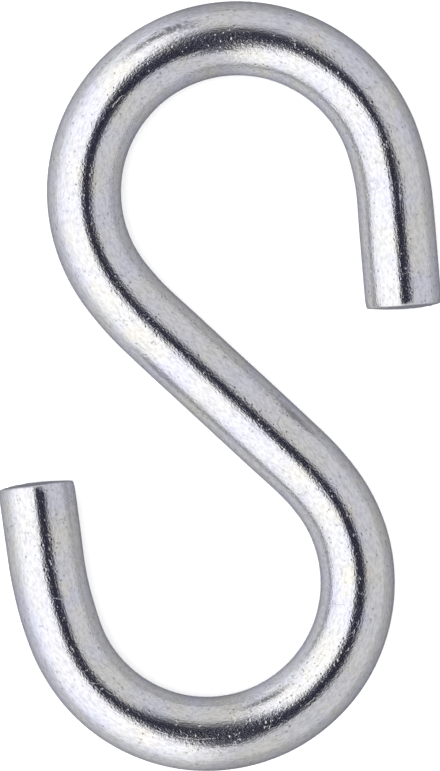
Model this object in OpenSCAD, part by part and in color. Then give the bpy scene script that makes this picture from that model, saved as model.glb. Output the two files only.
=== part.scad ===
// S hook: one length of round wire, cold bent into two hooks that open to opposite sides.
// It lies flat in the XY plane, on Z = 0, with the origin midway between the centres of its bowls.

/* [Wire] */
// Diameter of the wire, as drawn
wire_d = 6.35; // [4:0.05:8]
// How much bending draws the wire's radius down
thinning = 0.09; // [0.02:0.01:0.2]
// Radius of the rim left round each cut end
rim_r = 0.35; // [0.1:0.05:1]

/* [Shank] */
// Length of the straight shank between the hooks
shank_len = 16.6; // [12:0.1:30]
// Slope of the shank, down to the right
shank_slope = 42.7; // [35:0.1:55]

/* [Upper hook] */
// Inside diameter of the bowl
upper_bowl_d = 19.35; // [15:0.05:30]
// Angle wrapped round the bowl
upper_wrap = 198.9; // [150:0.1:205]
// Centreline radius where the shank runs into the bend
upper_entry_r = 24.6; // [12:0.1:60]
// Angle turned at that radius
upper_entry_turn = 10.3; // [4:0.1:20]
// Centreline radius where the bend springs back towards the leg
upper_spring_r = 20.8; // [12:0.1:60]
// Angle turned at that radius
upper_spring_turn = 13.3; // [4:0.1:20]
// Length of the straight leg, to the cut end
upper_leg_len = 8.9; // [5:0.1:12]

/* [Lower hook] */
// Inside diameter of the bowl
lower_bowl_d = 18.9; // [15:0.05:30]
// Angle wrapped round the bowl
lower_wrap = 196.1; // [150:0.1:205]
// Centreline radius where the shank runs into the bend
lower_entry_r = 20.4; // [12:0.1:60]
// Angle turned at that radius
lower_entry_turn = 10.7; // [4:0.1:20]
// Centreline radius where the bend springs back towards the leg
lower_spring_r = 30.1; // [12:0.1:60]
// Angle turned at that radius
lower_spring_turn = 12.8; // [4:0.1:20]
// Length of the straight leg, to the cut end
lower_leg_len = 6.2; // [5:0.1:12]

/* [Hidden] */
$fn = 96;

wire_r = wire_d / 2;
// Radius of the wire where it starts to bend, and round a bowl
eased_wire_r = wire_r - thinning / 2;
bowl_wire_r = wire_r - thinning;
// Length by which each bend runs on into its neighbours
lap = 0.2;

// A station is [x, y, heading]: a point on the centreline and the way the wire runs on from it.
// These two stand at the ends of the shank, with its middle at [0, 0].
upper_shank_end = straight_on([0, 0, 180 - shank_slope], shank_len / 2);
lower_shank_end = straight_on([0, 0, -shank_slope], shank_len / 2);

// A bend is [centreline radius, angle, radius of the wire]. All turn clockwise from the shank.
upper_bends = [
    [upper_entry_r, upper_entry_turn, eased_wire_r],
    [upper_bowl_d / 2 + bowl_wire_r, upper_wrap, bowl_wire_r],
    [upper_spring_r, upper_spring_turn, eased_wire_r]
];
lower_bends = [
    [lower_entry_r, lower_entry_turn, eased_wire_r],
    [lower_bowl_d / 2 + bowl_wire_r, lower_wrap, bowl_wire_r],
    [lower_spring_r, lower_spring_turn, eased_wire_r]
];
// Place of each hook's bowl in its list of bends
bowl = 1;

function straight_on(station, length) =
    [station.x + length * cos(station.z), station.y + length * sin(station.z), station.z];

function bend_centre(station, bend) = straight_on([station.x, station.y, station.z - 90], bend[0]);

function after_bend(station, bend) =
    let (
        centre = bend_centre(station, bend),
        end = straight_on([centre.x, centre.y, station.z + 90 - bend[1]], bend[0])
    )
    [end.x, end.y, station.z - bend[1]];

// Station after the first count bends of a hook
function after_bends(station, bends, count) =
    count == 0 ? station : after_bend(after_bends(station, bends, count - 1), bends[count - 1]);

function bowl_centre(shank_end, bends) =
    bend_centre(after_bends(shank_end, bends, bowl), bends[bowl]);

// Stands its children, drawn along +Z, on a station and lays them along the wire
module along_wire(station) {
    translate([station.x, station.y, wire_r]) rotate([0, 90, station.z]) children();
}

module bent_run(station, bend) {
    centre = bend_centre(station, bend);
    lap_turn = lap / bend[0] * 180 / PI;
    translate([centre.x, centre.y, wire_r])
        rotate(station.z + 90 - bend[1] - lap_turn)
            rotate_extrude(angle = bend[1] + 2 * lap_turn) translate([bend[0], 0]) circle(bend[2]);
}

// Straight leg, cut square at its far end, with the rim of the cut rounded
module leg(station, length) {
    along_wire(station) rotate_extrude() {
        square([wire_r, length - rim_r]);
        square([wire_r - rim_r, length]);
        translate([wire_r - rim_r, length - rim_r]) intersection() {
            circle(rim_r);
            square(rim_r);
        }
    }
}

// The bends of one hook and its leg, from the end of the shank
module hook(shank_end, bends, leg_len) {
    for (i = [0 : len(bends) - 1])
        bent_run(after_bends(shank_end, bends, i), bends[i]);
    leg(after_bends(shank_end, bends, len(bends)), leg_len);
}

module shank() {
    along_wire([lower_shank_end.x, lower_shank_end.y, upper_shank_end.z])
        cylinder(h = shank_len, r = wire_r);
}

module s_hook() {
    bowls = bowl_centre(upper_shank_end, upper_bends) + bowl_centre(lower_shank_end, lower_bends);
    color("silver") translate([-bowls.x / 2, -bowls.y / 2]) {
        shank();
        hook(upper_shank_end, upper_bends, upper_leg_len);
        hook(lower_shank_end, lower_bends, lower_leg_len);
    }
}

s_hook();
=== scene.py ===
import math

import bmesh
import bpy
from mathutils import Matrix, Vector, noise


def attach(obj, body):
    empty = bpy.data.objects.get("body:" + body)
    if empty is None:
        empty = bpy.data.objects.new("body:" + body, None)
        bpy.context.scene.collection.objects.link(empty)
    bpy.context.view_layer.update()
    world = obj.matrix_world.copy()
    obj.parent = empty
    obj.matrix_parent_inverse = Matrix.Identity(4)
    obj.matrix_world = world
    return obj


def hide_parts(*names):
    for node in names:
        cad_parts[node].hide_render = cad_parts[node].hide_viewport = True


mm = 0.001

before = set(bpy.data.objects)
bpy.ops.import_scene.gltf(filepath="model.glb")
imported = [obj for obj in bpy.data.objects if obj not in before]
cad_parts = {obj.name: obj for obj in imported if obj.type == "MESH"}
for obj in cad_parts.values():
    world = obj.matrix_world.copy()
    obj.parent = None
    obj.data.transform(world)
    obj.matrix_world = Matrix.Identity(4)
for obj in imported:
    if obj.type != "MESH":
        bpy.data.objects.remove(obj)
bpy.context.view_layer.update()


wire = {  # lengths in mm, angles in degrees
    "diameter": 6.35,
    "bentDiameter": 6.17,      # across a bend, in its own plane
    "shankLength": 16.6,
    "shankSlope": 42.7,        # down to the right
    "upper": {"bowl": 19.35, "wrap": 198.9, "entryRadius": 24.6, "entryTurn": 10.3,
              "springRadius": 20.8, "springTurn": 13.3, "leg": 8.9},
    "lower": {"bowl": 18.9, "wrap": 196.1, "entryRadius": 20.4, "entryTurn": 10.7,
              "springRadius": 30.1, "springTurn": 12.8, "leg": 6.2},
    "tightRadius": 12.6,       # a bend this tight squeezes the wire in full
    "easing": 2.0,             # how far the squeeze takes to come and go, either way
    "easingSteps": 4,
    "facesAround": 112,
    "ringSpacing": 0.24,
    "rim": 0.13,               # rounding left by the shear and the plating
    "rimSteps": 4,
    "endRings": 16,
    "rollOver": 0.09,          # how far the shear drags the wire in at a cut end
    "rollLength": 0.9,
    "endSink": 0.14,
    "endDome": 0.25,           # how far the torn middle of a cut end stands proud
    "domePower": 2.2,          # higher is flatter in the middle
    "domeLean": 0.25,          # how much prouder it stands on the side that gave way last
    "cutReach": 0.975,         # how much of an end's radius is bare of the bright finish
    "tear": 0.06,              # roughness of the torn part
    "tearSpread": 0.6,         # how torn the middle of the end is
    "tearReach": 0.9,          # how much of an end's radius is torn
    "tearAcross": 2.6,         # how fine the tearing is, for each mm
    "tearUp": 1.6,
    "wobble": 0.012,           # unevenness of the drawn and barrelled surface
    "wobbleAlong": 5,
    "wobbleAround": 1.4,
}


def hookRuns(hook):            # (length, centreline radius or None) from the middle of the shank outwards
    bends = [(hook["entryRadius"], hook["entryTurn"]),
             ((hook["bowl"] + wire["bentDiameter"]) / 2, hook["wrap"]),
             (hook["springRadius"], hook["springTurn"])]
    curved = [(radius * math.radians(turn), radius) for radius, turn in bends]
    return [(wire["shankLength"] / 2, None)] + curved + [(hook["leg"], None)]


def hookLength(hook):
    return sum(length for length, radius in hookRuns(hook))


def wireEnds():                # how far along the unbent wire its two ends are
    return hookLength(wire["upper"]), -hookLength(wire["lower"])


def shankHeadings():           # the way the wire runs from the middle of the shank to each hook
    slope = math.radians(wire["shankSlope"])
    return math.pi - slope, -slope


def walk(hook, heading, distance):   # place and heading that far out, with every bend to the right
    place = Vector((0, 0))
    centres = []
    runs = hookRuns(hook)
    for number, (length, radius) in enumerate(runs):
        go = distance if number == len(runs) - 1 else min(distance, length)
        if radius is None:
            place += go * Vector((math.cos(heading), math.sin(heading)))
        else:
            centre = place + radius * Vector((math.sin(heading), -math.cos(heading)))
            centres.append(centre)
            heading -= go / radius
            place = centre + radius * Vector((-math.sin(heading), math.cos(heading)))
        distance -= go
        if distance <= 0:
            break
    return place, heading, centres


def alongWire(along):          # place on the bent centreline and the unit vector to its left
    toUpper, toLower = shankHeadings()
    if along >= 0:
        place, heading, _ = walk(wire["upper"], toUpper, along)
    else:
        place, heading, _ = walk(wire["lower"], toLower, -along)
        heading += math.pi
    return place, Vector((-math.sin(heading), math.cos(heading)))


def bowlMiddle():              # midway between the centres of the bowls, where the origin lies
    bowls = []
    for hook, heading in zip((wire["upper"], wire["lower"]), shankHeadings()):
        centres = walk(hook, heading, hookLength(hook))[-1]
        bowls.append(centres[1])       # the first is the entry bend's and the last the spring back's
    return (bowls[0] + bowls[1]) / 2


def bendStrength(along):       # 0 on a straight, 1 round a bowl, and in between where it eases
    hook = wire["upper"] if along >= 0 else wire["lower"]
    distance = abs(along)
    for length, radius in hookRuns(hook):
        if distance <= length:
            break
        distance -= length
    return 0 if radius is None else min(1, wire["tightRadius"] / radius)


def squeeze(along):            # how much narrower the wire is across a bend
    steps = wire["easingSteps"]
    samples = [bendStrength(along + wire["easing"] * step / steps) for step in range(-steps, steps + 1)]
    return 1 + (wire["bentDiameter"] / wire["diameter"] - 1) * sum(samples) / len(samples)


def straightWire():            # a closed rod with rounded rims and rings of faces on its ends
    bm = bmesh.new()
    upperEnd, lowerEnd = wireEnds()
    length = upperEnd - lowerEnd
    bmesh.ops.create_cone(bm, cap_ends=True, segments=wire["facesAround"], depth=length,
                          radius1=wire["diameter"] / 2, radius2=wire["diameter"] / 2)
    bmesh.ops.rotate(bm, verts=bm.verts, matrix=Matrix.Rotation(math.radians(90), 3, "Y"))
    bmesh.ops.translate(bm, verts=bm.verts, vec=((upperEnd + lowerEnd) / 2, 0, 0))
    caps = [face for face in bm.faces if len(face.verts) > 4]
    rims = [edge for cap in caps for edge in cap.edges]
    bmesh.ops.bevel(bm, geom=rims, offset=wire["rim"], segments=wire["rimSteps"], profile=0.5,
                    affect="EDGES", material=-1)
    long = [edge for edge in bm.edges if edge.calc_length() > length / 2]
    bmesh.ops.subdivide_edges(bm, edges=long, cuts=round(length / wire["ringSpacing"]), use_grid_fill=True)
    caps = [face for face in bm.faces if len(face.verts) > 4]
    thickness = (wire["diameter"] / 2 - wire["rim"]) / (wire["endRings"] + 0.5)    # half a ring is left
    for cap in caps:
        for _ in range(wire["endRings"]):
            bmesh.ops.inset_region(bm, faces=[cap], thickness=thickness)
    bmesh.ops.poke(bm, faces=caps)
    return bm


def shearEnds(bm):             # rolls in the wire at each cut and leaves the cut face domed and torn
    radius = wire["diameter"] / 2
    for end in wireEnds():
        side = math.copysign(1, end)
        for vert in bm.verts:
            back = (end - vert.co.x) * side
            if back > wire["rollLength"]:
                continue
            reach = math.hypot(vert.co.y, vert.co.z) / radius
            lean = side * vert.co.y / radius       # the last part to give way stands prouder and tears
            dome = max(0, 1 - reach ** wire["domePower"]) * (1 + wire["domeLean"] * lean)
            torn = min(1, max(0, wire["tearSpread"] + lean))
            place = Vector((end, vert.co.y * wire["tearAcross"], vert.co.z * wire["tearUp"]))
            grit = noise.noise(place) * wire["tear"] * torn * (reach < wire["tearReach"])
            pull = max(0, 1 - back / wire["rollLength"])
            shrink = 1 - wire["rollOver"] * pull ** 2 / radius
            vert.co.y *= shrink
            vert.co.z *= shrink
            face = max(0, 1 - back / wire["rim"])
            vert.co.x += side * (face * (dome * wire["endDome"] + grit) - pull * wire["endSink"])


def wobble(bm):                # slow unevenness, about a hundredth of a millimetre
    bm.normal_update()
    along, around = wire["wobbleAlong"], wire["wobbleAround"]
    for vert in bm.verts:
        place = Vector((vert.co.x / along, vert.co.y / around, vert.co.z / around))
        vert.co += vert.normal * noise.noise(place) * wire["wobble"]


def markSurface(bm):           # keeps each place on the unbent wire for the plating's patterns
    straight = bm.verts.layers.float_vector.new("straight")   # mm along the unbent wire, across and up
    cut = bm.verts.layers.float.new("cut")                    # 1 on the sheared ends
    upperEnd, lowerEnd = wireEnds()
    for vert in bm.verts:
        vert[straight] = vert.co
        back = min(upperEnd - vert.co.x, vert.co.x - lowerEnd)
        reach = math.hypot(vert.co.y, vert.co.z) / (wire["diameter"] / 2)
        vert[cut] = 1.0 if reach < wire["cutReach"] and back < wire["endSink"] else 0.0


def bendWire(bm):
    middle = bowlMiddle()
    widths = {}                # worked out once for each ring of the wire
    for vert in bm.verts:
        ring = round(vert.co.x, 2)
        if ring not in widths:
            widths[ring] = squeeze(ring)
        vert.co.y *= widths[ring]
        place, left = alongWire(vert.co.x)
        place = place - middle + left * vert.co.y
        vert.co = Vector((place.x, place.y, wire["diameter"] / 2 + vert.co.z)) * mm


def makeWire():
    bm = straightWire()
    shearEnds(bm)
    wobble(bm)
    markSurface(bm)
    bendWire(bm)
    bmesh.ops.recalc_face_normals(bm, faces=bm.faces)
    mesh = bpy.data.meshes.new("bent_wire")
    bm.to_mesh(mesh)
    bm.free()
    mesh.shade_smooth()
    piece = bpy.data.objects.new("bent_wire", mesh)
    bpy.context.scene.collection.objects.link(piece)
    return piece


def linear(hexColour):         # sRGB hex to a linear colour
    parts = [int(hexColour[i:i + 2], 16) / 255 for i in (1, 3, 5)]
    return [c / 12.92 if c <= 0.04045 else ((c + 0.055) / 1.055) ** 2.4 for c in parts] + [1]


def addNode(tree, kind, settings, inputs):
    made = tree.nodes.new("ShaderNode" + kind)
    for name, value in settings.items():
        setattr(made, name, value)
    for name, value in inputs.items():
        if isinstance(value, bpy.types.NodeSocket):
            tree.links.new(value, made.inputs[name])
        else:
            made.inputs[name].default_value = value
    return made


def newMaterial(name):
    made = bpy.data.materials.new(name)
    made.use_nodes = True
    made.node_tree.nodes.clear()
    return made, made.node_tree


# Sizes in mm. A "Fade" is where on a noise a pattern starts and where it is full.
# Real crystals, die lines and pits are a few hundredths of a millimetre or less, too fine to show, so
# the grain, lines, pits and scratches are all drawn several times coarser.
zincPlate = {
    "detail": 2.0,             # octaves of the even patterns
    "grain": 0.15,             # plated crystals
    "grainStretch": 1.7,       # drawn out along the wire
    "grainHeight": 0.0165,
    "grainRoughness": 0.55,
    "line": 0.25,              # lines of the drawing die
    "lineLength": 3.5,
    "lineHeight": 0.010,
    "lineRoughness": 0.5,
    "swell": 2.2,              # slow unevenness round the wire
    "swellAlong": 0.3,         # how often it comes along the wire, against round it
    "swellHeight": 0.035,
    "swellRoughness": 0.5,
    "pit": 0.40,               # spacing of the pits
    "pitRadius": 0.19,
    "pitDepth": 0.018,
    "pitStain": 0.36,          # how much darker a pit is
    "cluster": 2.0,            # how far apart the pitted patches lie
    "clusterFade": (0.35, 0.65),
    "pitless": (0.8, 0.1),     # share of the cells without a pit, outside a patch and in it
    "scratch": 2.4,            # spacing of the stray scratches
    "scratchWidth": 0.07,
    "scratchDepth": 0.012,
    "scratchStain": 0.22,
    "scratchBend": 1.2,        # how often they bend and break, for each mm
    "scratchBreak": 0.9,
    "breakDetail": 3.0,
    "breakFade": (0.56, 0.66),
    "blueGrey": "#dfdfe8",     # the two colours of the passivate
    "warmGrey": "#e3e2dc",
    "tint": 3.5,
    "tintDetail": 4.0,
    "tintFade": (0.35, 0.65),
    "strawGrey": "#eae4d6",    # small patches where the passivate is thicker and yellower
    "straw": 2.6,
    "strawDetail": 5.0,
    "strawRoughness": 0.65,
    "strawFade": (0.54, 0.78),
    "mottle": 0.21,            # dull specks
    "mottleAlong": 0.5,
    "mottleDetail": 3.0,
    "mottleFade": (0.3, 0.6),
    "mottleDepth": 0.24,
    "edgeShadeTint": "#b4b4ba",     # painted shade: dims the metal's mirror where it is seen edge on, standing in for the dimmer, shadowed floor that the rims reflect
    "roughness": 0.155,
    "cutRoughness": 0.38,      # the sheared ends take the plating matt
    "cutStain": 0.28,
    "cutGrain": 0.45,
    "cutDetail": 4.0,
    "cutHeight": 0.05,
}

toolMarks = {  # mm and degrees: where along the unbent wire and how far round it from the top
    "depth": 0.02,
    "stain": 0.42,
    "fullReach": 0.5,          # share of its reach where a mark is full
    "gap": 0.5,                # how long the breaks in a mark are
    "gapDetail": 3.0,
    "gapFade": (0.38, 0.6),
    "arcs": [  # along, round, radius of the arc, which way it curls, how far it reaches, width
        (65.3, 50, 0.22, 40, 0.26, 0.07),      # a ring near the upper end
        (56.0, 22, 3.0, -45, 0.75, 0.06),      # scratches on the upper leg and its bend
        (55.8, -24, 6.0, 104, 2.0, 0.045),
        (61.2, 8, 9.0, 84, 1.5, 0.07),
        (60.4, 17, 6.0, 80, 1.2, 0.06),
        (62.1, 24, 7.0, -100, 0.9, 0.05),
        (36.0, 36, 12.0, 80, 2.0, 0.6),        # dull streaks on the upper bowl
        (37.4, 26, 9.0, 95, 1.5, 0.4),
        (-41.5, -7, 30.0, 91, 3.0, 0.05),      # a long line on the lower bowl
        (-48.3, 27, 0.24, 60, 0.28, 0.06),     # rings on the lower bowl
        (-50.9, 29, 0.27, 150, 0.3, 0.06),
        (-52.6, 25, 0.24, 20, 0.28, 0.06),
        (19.5, 30, 2.6, 170, 0.5, 0.07),       # short nicks on both bowls
        (-27.0, 24, 2.4, 12, 0.55, 0.07),
        (-29.2, 40, 2.2, 165, 0.45, 0.06)],
}


def makeToolMarks(tree, straight):     # 1 where a nick or scratch from the bending dies runs, 0 elsewhere
    total = 0.0
    wireRadius = wire["diameter"] / 2
    for along, around, radius, curl, reach, width in toolMarks["arcs"]:
        tilt = math.radians(around)
        place = Vector((along, wireRadius * math.sin(tilt), wireRadius * math.cos(tilt)))
        sideways = Vector((0, math.cos(tilt), -math.sin(tilt)))
        lie = math.radians(curl)
        middle = place + radius * (Vector((math.cos(lie), 0, 0)) + math.sin(lie) * sideways)
        ring = addNode(tree, "VectorMath", {"operation": "DISTANCE"}, {0: straight, 1: middle})
        ring = addNode(tree, "Math", {"operation": "SUBTRACT"}, {0: ring.outputs["Value"], 1: radius})
        ring = addNode(tree, "Math", {"operation": "ABSOLUTE"}, {0: ring.outputs["Value"]})
        ring = addNode(tree, "MapRange", {"interpolation_type": "SMOOTHSTEP"}, {
            "Value": ring.outputs["Value"], "From Max": width, "To Min": 1.0, "To Max": 0.0})
        near = addNode(tree, "VectorMath", {"operation": "DISTANCE"}, {0: straight, 1: place})
        near = addNode(tree, "MapRange", {"interpolation_type": "SMOOTHSTEP"}, {
            "Value": near.outputs["Value"], "From Min": reach * toolMarks["fullReach"], "From Max": reach,
            "To Min": 1.0, "To Max": 0.0})
        mark = addNode(tree, "Math", {"operation": "MULTIPLY"},
                       {0: ring.outputs["Result"], 1: near.outputs["Result"]})
        total = addNode(tree, "Math", {"operation": "MAXIMUM"},
                        {0: total, 1: mark.outputs["Value"]}).outputs["Value"]
    start, full = toolMarks["gapFade"]
    broken = addNode(tree, "TexNoise", {}, {
        "Vector": straight, "Scale": 1 / toolMarks["gap"], "Detail": toolMarks["gapDetail"]})
    broken = addNode(tree, "MapRange", {}, {
        "Value": broken.outputs["Fac"], "From Min": start, "From Max": full})
    marks = addNode(tree, "Math", {"operation": "MULTIPLY"}, {0: total, 1: broken.outputs["Result"]})
    return marks.outputs["Value"]


def makeRelief(tree, straight):        # height of the crystals, the die's lines and the swelling, in mm
    size = zincPlate
    layers = [("grain", 1 / size["grainStretch"]), ("line", size["line"] / size["lineLength"]),
              ("swell", size["swellAlong"])]
    height = 0.0
    for layer, along in layers:
        stretch = addNode(tree, "Mapping", {}, {"Vector": straight, "Scale": (along, 1, 1)})
        pattern = addNode(tree, "TexNoise", {}, {
            "Vector": stretch.outputs["Vector"], "Scale": 1 / size[layer], "Detail": size["detail"],
            "Roughness": size[layer + "Roughness"]})
        height = addNode(tree, "Math", {"operation": "MULTIPLY_ADD"},
                         {0: pattern.outputs["Fac"], 1: size[layer + "Height"], 2: height}).outputs["Value"]
    return height


def makePits(tree, straight):          # 1 in the middle of a pit and 0 outside it, in patches
    size = zincPlate
    start, full = size["clusterFade"]
    sparse, dense = size["pitless"]
    cluster = addNode(tree, "TexNoise", {}, {
        "Vector": straight, "Scale": 1 / size["cluster"], "Detail": size["detail"]})
    cluster = addNode(tree, "MapRange", {}, {
        "Value": cluster.outputs["Fac"], "From Min": start, "From Max": full, "To Min": sparse,
        "To Max": dense})
    cells = addNode(tree, "TexVoronoi", {}, {"Vector": straight, "Scale": 1 / size["pit"]})
    chance = addNode(tree, "SeparateColor", {}, {"Color": cells.outputs["Color"]})
    radius = addNode(tree, "MapRange", {}, {
        "Value": chance.outputs["Red"], "From Min": cluster.outputs["Result"], "From Max": 1.0,
        "To Max": size["pitRadius"] / size["pit"]})
    pits = addNode(tree, "MapRange", {"interpolation_type": "SMOOTHSTEP"}, {
        "Value": cells.outputs["Distance"], "From Max": radius.outputs["Result"], "To Min": 1.0,
        "To Max": 0.0})
    return pits.outputs["Result"]


def makeScratches(tree, straight):     # 1 on a stray scratch and 0 off it
    size = zincPlate
    bent = addNode(tree, "TexNoise", {}, {
        "Vector": straight, "Scale": size["scratchBend"], "Detail": size["detail"]})
    bent = addNode(tree, "VectorMath", {"operation": "ADD"}, {0: straight, 1: bent.outputs["Color"]})
    lines = addNode(tree, "TexVoronoi", {"feature": "DISTANCE_TO_EDGE"}, {
        "Vector": bent.outputs["Vector"], "Scale": 1 / size["scratch"]})
    lines = addNode(tree, "MapRange", {"interpolation_type": "SMOOTHSTEP"}, {
        "Value": lines.outputs["Distance"], "From Max": size["scratchWidth"] / size["scratch"],
        "To Min": 1.0, "To Max": 0.0})
    start, full = size["breakFade"]
    broken = addNode(tree, "TexNoise", {}, {
        "Vector": straight, "Scale": size["scratchBreak"], "Detail": size["breakDetail"]})
    broken = addNode(tree, "MapRange", {}, {
        "Value": broken.outputs["Fac"], "From Min": start, "From Max": full})
    scratches = addNode(tree, "Math", {"operation": "MULTIPLY"},
                        {0: lines.outputs["Result"], 1: broken.outputs["Result"]})
    return scratches.outputs["Value"]


def makeTearing(tree, straight, cut):  # the coarse grain of the sheared ends
    torn = addNode(tree, "TexNoise", {}, {
        "Vector": straight, "Scale": 1 / zincPlate["cutGrain"], "Detail": zincPlate["cutDetail"]})
    torn = addNode(tree, "Math", {"operation": "MULTIPLY"}, {0: torn.outputs["Fac"], 1: cut})
    return torn.outputs["Value"]


def makeTint(tree, straight):          # the passivate's colour, before any stain
    size = zincPlate
    start, full = size["tintFade"]
    tint = addNode(tree, "TexNoise", {}, {
        "Vector": straight, "Scale": 1 / size["tint"], "Detail": size["tintDetail"]})
    tint = addNode(tree, "MapRange", {}, {
        "Value": tint.outputs["Fac"], "From Min": start, "From Max": full})
    colour = addNode(tree, "Mix", {"data_type": "RGBA"}, {
        "Factor": tint.outputs["Result"], 6: linear(size["blueGrey"]), 7: linear(size["warmGrey"])})
    start, full = size["strawFade"]
    straw = addNode(tree, "TexNoise", {}, {
        "Vector": straight, "Scale": 1 / size["straw"], "Detail": size["strawDetail"],
        "Roughness": size["strawRoughness"]})
    straw = addNode(tree, "MapRange", {"interpolation_type": "SMOOTHSTEP"}, {
        "Value": straw.outputs["Fac"], "From Min": start, "From Max": full})
    colour = addNode(tree, "Mix", {"data_type": "RGBA"}, {
        "Factor": straw.outputs["Result"], 6: colour.outputs[2], 7: linear(size["strawGrey"])})
    return colour.outputs[2]


def makeMottle(tree, straight):        # 1 where the plating is clean and less in a dull speck
    size = zincPlate
    start, full = size["mottleFade"]
    stretch = addNode(tree, "Mapping", {}, {"Vector": straight, "Scale": (size["mottleAlong"], 1, 1)})
    mottle = addNode(tree, "TexNoise", {}, {
        "Vector": stretch.outputs["Vector"], "Scale": 1 / size["mottle"], "Detail": size["mottleDetail"]})
    mottle = addNode(tree, "MapRange", {}, {
        "Value": mottle.outputs["Fac"], "From Min": start, "From Max": full,
        "To Min": 1 - size["mottleDepth"]})
    return mottle.outputs["Result"]


def brightZincPlate():
    # Clear-passivated zinc, barrel plated on drawn steel wire: a bright grey metal, faintly blue or
    # straw in patches, with the lines of the die under it and a fine frost of pits that sparkles.
    made, tree = newMaterial("bright_zinc_plate")
    size = zincPlate
    straight = addNode(tree, "Attribute", {"attribute_name": "straight"}, {}).outputs["Vector"]
    cut = addNode(tree, "Attribute", {"attribute_name": "cut"}, {}).outputs["Fac"]
    pits = makePits(tree, straight)
    scratches = makeScratches(tree, straight)
    marks = makeToolMarks(tree, straight)
    torn = makeTearing(tree, straight, cut)

    height = makeRelief(tree, straight)
    for pattern, rise in ((pits, -size["pitDepth"]), (scratches, -size["scratchDepth"]),
                          (torn, size["cutHeight"]), (marks, -toolMarks["depth"])):
        height = addNode(tree, "Math", {"operation": "MULTIPLY_ADD"},
                         {0: pattern, 1: rise, 2: height}).outputs["Value"]
    bump = addNode(tree, "Bump", {}, {"Height": height, "Distance": mm, "Strength": 1.0})

    shade = makeMottle(tree, straight)
    for pattern, stain in ((pits, size["pitStain"]), (scratches, size["scratchStain"]),
                           (marks, toolMarks["stain"]), (cut, size["cutStain"])):
        shade = addNode(tree, "Math", {"operation": "MULTIPLY_ADD"},
                        {0: pattern, 1: -stain, 2: shade}).outputs["Value"]
    colour = addNode(tree, "VectorMath", {"operation": "SCALE"},
                     {"Vector": makeTint(tree, straight), "Scale": shade})
    roughness = addNode(tree, "MapRange", {}, {
        "Value": cut, "To Min": size["roughness"], "To Max": size["cutRoughness"]})

    # the grey specular tint is painted shade on the rims, standing in for the shadowed floor they mirror
    shader = addNode(tree, "BsdfPrincipled", {}, {
        "Base Color": colour.outputs["Vector"], "Metallic": 1.0, "Specular Tint": linear(size["edgeShadeTint"]),
        "Roughness": roughness.outputs["Result"], "Normal": bump.outputs["Normal"]})
    addNode(tree, "OutputMaterial", {}, {"Surface": shader.outputs["BSDF"]})
    print("zinc plate made, %d nodes" % len(tree.nodes))
    return made


floorCard = {
    "size": 4.0,               # metres
    "colour": "#f7f7f6",
    "roughness": 0.9,
    "shine": 0.2,
    "wash": 3.4,               # the lamp that only lights the floor
    "washAngle": 70,
}


def whiteCard():
    # Matt white card, clay coated: an even pale field with hardly any shine.
    made, tree = newMaterial("white_card")
    shader = addNode(tree, "BsdfPrincipled", {}, {
        "Base Color": linear(floorCard["colour"]), "Roughness": floorCard["roughness"],
        "Specular IOR Level": floorCard["shine"]})
    addNode(tree, "OutputMaterial", {}, {"Surface": shader.outputs["BSDF"]})
    return made


def makeFloor():
    bm = bmesh.new()
    bmesh.ops.create_grid(bm, x_segments=1, y_segments=1, size=floorCard["size"] / 2)
    mesh = bpy.data.meshes.new("floor")
    bm.to_mesh(mesh)
    bm.free()
    floor = bpy.data.objects.new("floor", mesh)
    bpy.context.scene.collection.objects.link(floor)
    mesh.materials.append(whiteCard())
    floor.visible_glossy = False       # the metal mirrors the tent's own floor instead


def makeWash():
    light = bpy.data.lights.new("floor_wash", "SUN")
    light.energy = floorCard["wash"]
    light.angle = math.radians(floorCard["washAngle"])
    lamp = bpy.data.objects.new("floor_wash", light)
    lamp.location = (0, 0, 1)
    lamp.visible_glossy = False
    bpy.context.scene.collection.objects.link(lamp)


# The slot and the arm are placed on a ceiling one unit above the hook, and the rest by direction.
# Each cloth has a strength and a colour.
tent = {
    "leftWall": (1.42, "#fcfcff"),
    "leftFoot": (1.22, "#f4f6ff"),
    "rightWall": (0.80, "#fafaff"),
    "rightFoot": (0.80, "#fafaff"),
    "footTop": 0.6,                    # how high the feet of the walls fade out
    "leftFloor": (0.80, "#f8f9ff"),
    "rightFloor": (0.58, "#f8f9ff"),
    "horizon": (-0.25, 0.06),          # where the floor fades into the walls
    "wallsMeet": (0.19, 0.18, 0.15),   # turn, shift and softness of the line between the walls
    "lowest": 0.01,                    # keeps the ceiling from running out to infinity
    "opening": (0.046, "#b4b4ff"),     # the dark slot that the tent is filled and lit through
    "slotSides": (-0.145, 0.13),
    "slotLean": 0.14,
    "slotFlare": 0.42,                 # how much wider its far end is, to the right
    "slotFar": (0.26, 1.1),            # where its far end fades into the wall
    "slotNear": 0.92,
    "slotSoft": 0.06,
    "armMiddle": (0.09, -0.09, 1),     # the camera and its arm, over the slot and behind the left wall
    "armRadius": 0.42,
    "armSoft": 0.12,
    "seamMiddle": (-0.441, 0.830, 0.342),   # a dark gap where the left wall meets the far one
    "seamReach": (0.08, 0.27),
    "seamLight": 0.14,
}


def clothColour(name):
    strength, colour = tent[name]
    return [strength * part for part in linear(colour)[:3]] + [1]


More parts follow.
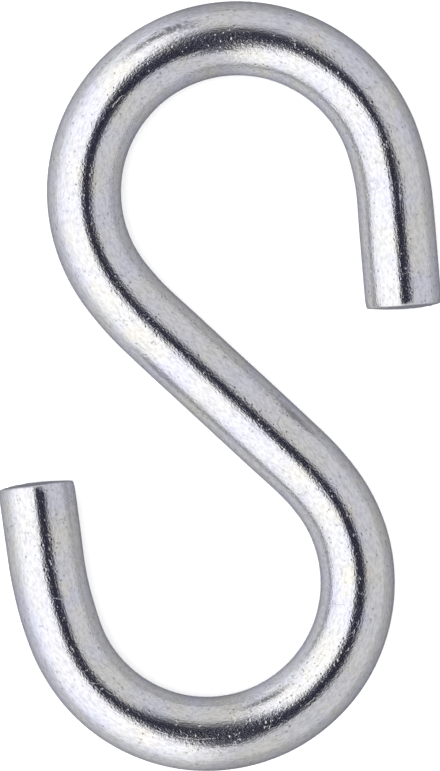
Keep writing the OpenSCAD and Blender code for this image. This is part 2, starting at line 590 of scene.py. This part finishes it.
def litCloth(tree, direction):         # 1 on the tent's lit cloth, 0 in the slot and on the camera's arm
    soft = tent["slotSoft"]
    up = addNode(tree, "SeparateXYZ", {}, {"Vector": direction})
    up = addNode(tree, "Math", {"operation": "MAXIMUM"}, {0: up.outputs["Z"], 1: tent["lowest"]})
    scale = addNode(tree, "Math", {"operation": "DIVIDE"}, {0: 1.0, 1: up.outputs["Value"]})
    ceiling = addNode(tree, "VectorMath", {"operation": "SCALE"},
                      {"Vector": direction, "Scale": scale.outputs["Value"]}).outputs["Vector"]
    across = addNode(tree, "VectorMath", {"operation": "DOT_PRODUCT"},
                     {0: ceiling, 1: (1, tent["slotLean"], 0)}).outputs["Value"]
    along = addNode(tree, "SeparateXYZ", {}, {"Vector": ceiling}).outputs["Y"]

    leftEdge, rightEdge = tent["slotSides"]
    left = addNode(tree, "MapRange", {"interpolation_type": "SMOOTHSTEP"}, {
        "Value": across, "From Min": leftEdge + soft, "From Max": leftEdge - soft})
    right = addNode(tree, "Math", {"operation": "SUBTRACT"}, {0: across, 1: rightEdge})
    flare = addNode(tree, "Math", {"operation": "MAXIMUM"}, {0: along, 1: 0.0})
    right = addNode(tree, "Math", {"operation": "MULTIPLY_ADD"},
                    {0: flare.outputs["Value"], 1: -tent["slotFlare"], 2: right.outputs["Value"]})
    right = addNode(tree, "MapRange", {"interpolation_type": "SMOOTHSTEP"}, {
        "Value": right.outputs["Value"], "From Min": -soft, "From Max": soft})
    start, full = tent["slotFar"]
    far = addNode(tree, "MapRange", {"interpolation_type": "SMOOTHSTEP"}, {
        "Value": along, "From Min": start, "From Max": full})
    near = addNode(tree, "MapRange", {"interpolation_type": "SMOOTHSTEP"}, {
        "Value": along, "From Min": -tent["slotNear"] + soft, "From Max": -tent["slotNear"] - soft})
    arm = addNode(tree, "VectorMath", {"operation": "DISTANCE"}, {0: ceiling, 1: tent["armMiddle"]})
    arm = addNode(tree, "MapRange", {"interpolation_type": "SMOOTHSTEP"}, {
        "Value": arm.outputs["Value"], "From Min": tent["armRadius"] - tent["armSoft"],
        "From Max": tent["armRadius"] + tent["armSoft"]})

    lit = far.outputs["Result"]
    for rule, part in (("MAXIMUM", near), ("MAXIMUM", right), ("MINIMUM", arm), ("MAXIMUM", left)):
        lit = addNode(tree, "Math", {"operation": rule},
                      {0: lit, 1: part.outputs["Result"]}).outputs["Value"]
    return lit


def rightHalf(tree, direction):        # 1 towards the right wall and 0 towards the left one
    turn, shift, soft = tent["wallsMeet"]
    level = addNode(tree, "VectorMath", {"operation": "MULTIPLY"}, {0: direction, 1: (1, 1, 0)})
    level = addNode(tree, "VectorMath", {"operation": "NORMALIZE"}, {0: level.outputs["Vector"]})
    right = addNode(tree, "VectorMath", {"operation": "DOT_PRODUCT"},
                    {0: level.outputs["Vector"], 1: (1, turn, 0)})
    right = addNode(tree, "MapRange", {"interpolation_type": "SMOOTHSTEP"}, {
        "Value": right.outputs["Value"], "From Min": -shift - soft, "From Max": -shift + soft})
    return right.outputs["Result"]


def darkSeam(tree, direction):         # 1 away from the gap between the walls and less inside it
    start, full = tent["seamReach"]
    seam = addNode(tree, "VectorMath", {"operation": "DISTANCE"}, {0: direction, 1: tent["seamMiddle"]})
    seam = addNode(tree, "MapRange", {"interpolation_type": "SMOOTHSTEP"}, {
        "Value": seam.outputs["Value"], "From Min": start, "From Max": full,
        "To Min": tent["seamLight"]})
    return seam.outputs["Result"]


def lightTent():
    world = bpy.data.worlds.new("light_tent")
    bpy.context.scene.world = world
    world.use_nodes = True
    tree = world.node_tree
    tree.nodes.clear()
    direction = addNode(tree, "TexCoord", {}, {}).outputs["Generated"]
    up = addNode(tree, "SeparateXYZ", {}, {"Vector": direction}).outputs["Z"]
    right = rightHalf(tree, direction)

    wall, foot, ground = [
        addNode(tree, "Mix", {"data_type": "RGBA"}, {
            "Factor": right, 6: clothColour("left" + name), 7: clothColour("right" + name)}).outputs[2]
        for name in ("Wall", "Foot", "Floor")]
    rise = addNode(tree, "MapRange", {"interpolation_type": "SMOOTHSTEP"}, {
        "Value": up, "From Max": tent["footTop"]})
    wall = addNode(tree, "Mix", {"data_type": "RGBA"},
                   {"Factor": rise.outputs["Result"], 6: foot, 7: wall})
    wall = addNode(tree, "Mix", {"data_type": "RGBA"},
                   {"Factor": litCloth(tree, direction), 6: clothColour("opening"), 7: wall.outputs[2]})
    wall = addNode(tree, "VectorMath", {"operation": "SCALE"},
                   {"Vector": wall.outputs[2], "Scale": darkSeam(tree, direction)})
    start, full = tent["horizon"]
    above = addNode(tree, "MapRange", {"interpolation_type": "SMOOTHSTEP"}, {
        "Value": up, "From Min": start, "From Max": full})
    light = addNode(tree, "Mix", {"data_type": "RGBA"},
                    {"Factor": above.outputs["Result"], 6: ground, 7: wall.outputs["Vector"]})
    shader = addNode(tree, "Background", {}, {"Color": light.outputs[2], "Strength": 1.0})
    addNode(tree, "OutputWorld", {}, {"Surface": shader.outputs["Background"]})


def makeStudio():
    makeFloor()
    makeWash()
    lightTent()
    bpy.context.scene.view_settings.view_transform = "Standard"
    print("floor and light tent made")


view = {  # mm
    "distance": 665,           # above the middle of the wire
    "frameHeight": 64.08,      # how much of the hook the height of the picture takes in
    "sensor": 36,
    "aimX": -0.18,
    "aimY": 0.16,
}


def makeCamera():
    camera = bpy.data.cameras.new("camera")
    camera.sensor_width = view["sensor"]
    camera.lens = view["sensor"] * view["distance"] / view["frameHeight"]
    stand = bpy.data.objects.new("camera", camera)
    stand.location = Vector((view["aimX"], view["aimY"], view["distance"] + wire["diameter"] / 2)) * mm
    bpy.context.scene.collection.objects.link(stand)
    bpy.context.scene.camera = stand
    print("camera made, lens %.0f mm" % camera.lens)


makeCamera()
makeStudio()
hook = makeWire()
hook.data.materials.append(brightZincPlate())
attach(hook, "root")
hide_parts("s_hook")
print("wire made, %d faces" % len(hook.data.polygons))
